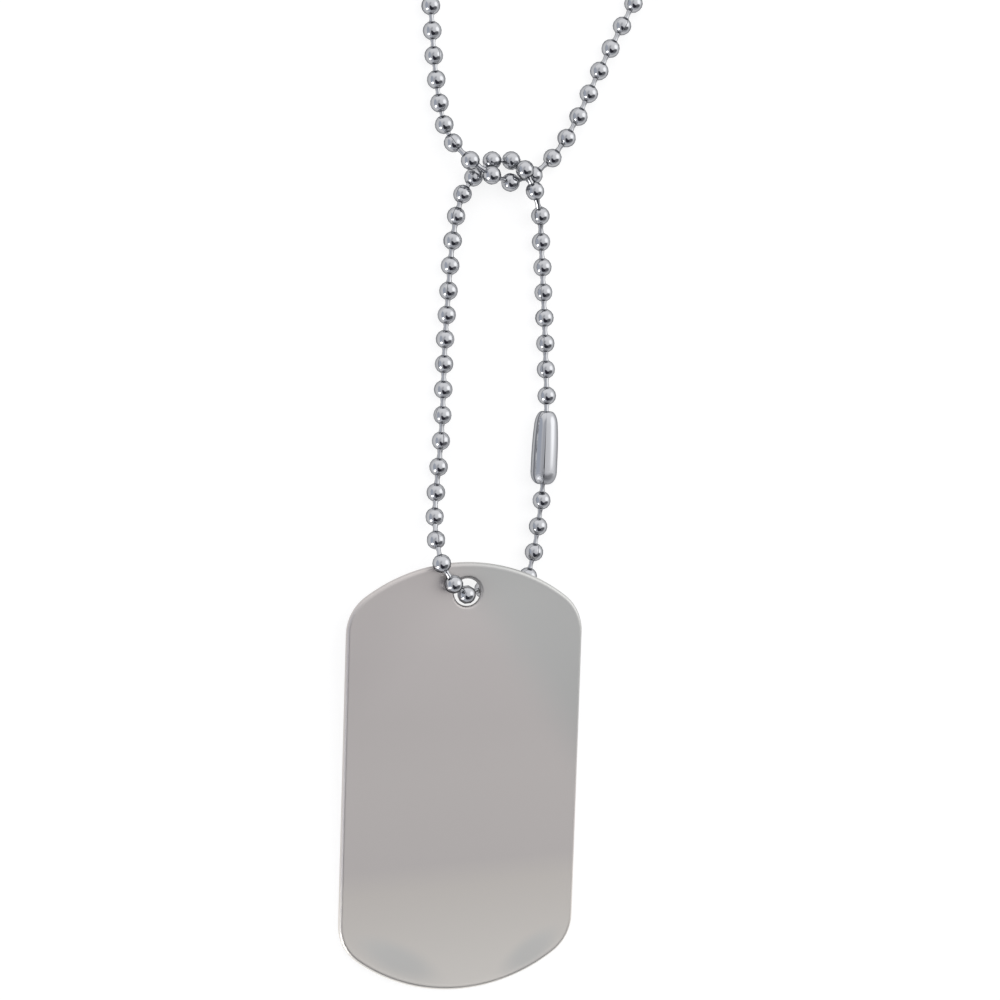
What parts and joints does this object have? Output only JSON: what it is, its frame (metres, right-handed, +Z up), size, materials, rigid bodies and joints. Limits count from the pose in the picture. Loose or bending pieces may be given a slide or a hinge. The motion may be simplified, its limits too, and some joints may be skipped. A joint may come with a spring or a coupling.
{
  "type": "identification dog tag on ball chains",
  "caption": "Blank oblong metal tag with a rolled edge and one hole, on a short ball chain hooked through a long neck ball chain, lying flat.",
  "frame": {"origin": "middle of the whole piece's outline, on the surface it lies on", "axes": "+Y along the tag from its lower end to its hole and on to the neck chain's top, +Z up out of the surface, +X to the right as seen from above"},
  "size_m": [0.1238, 0.3509, 0.0058],
  "materials": {
    "tag_sheet": "smooth tumbled stainless sheet, soft sheen",
    "chain": "bright nickel-plated",
    "connector": "bright nickel-plated, drawn"
  },
  "bodies": {
    "root": {"tag": "tag_sheet", "short_chain": "chain", "short_connector": "connector", "neck_chain_left": "chain", "neck_chain_right": "chain", "neck_connector": "connector"}
  },
  "joints": []
}
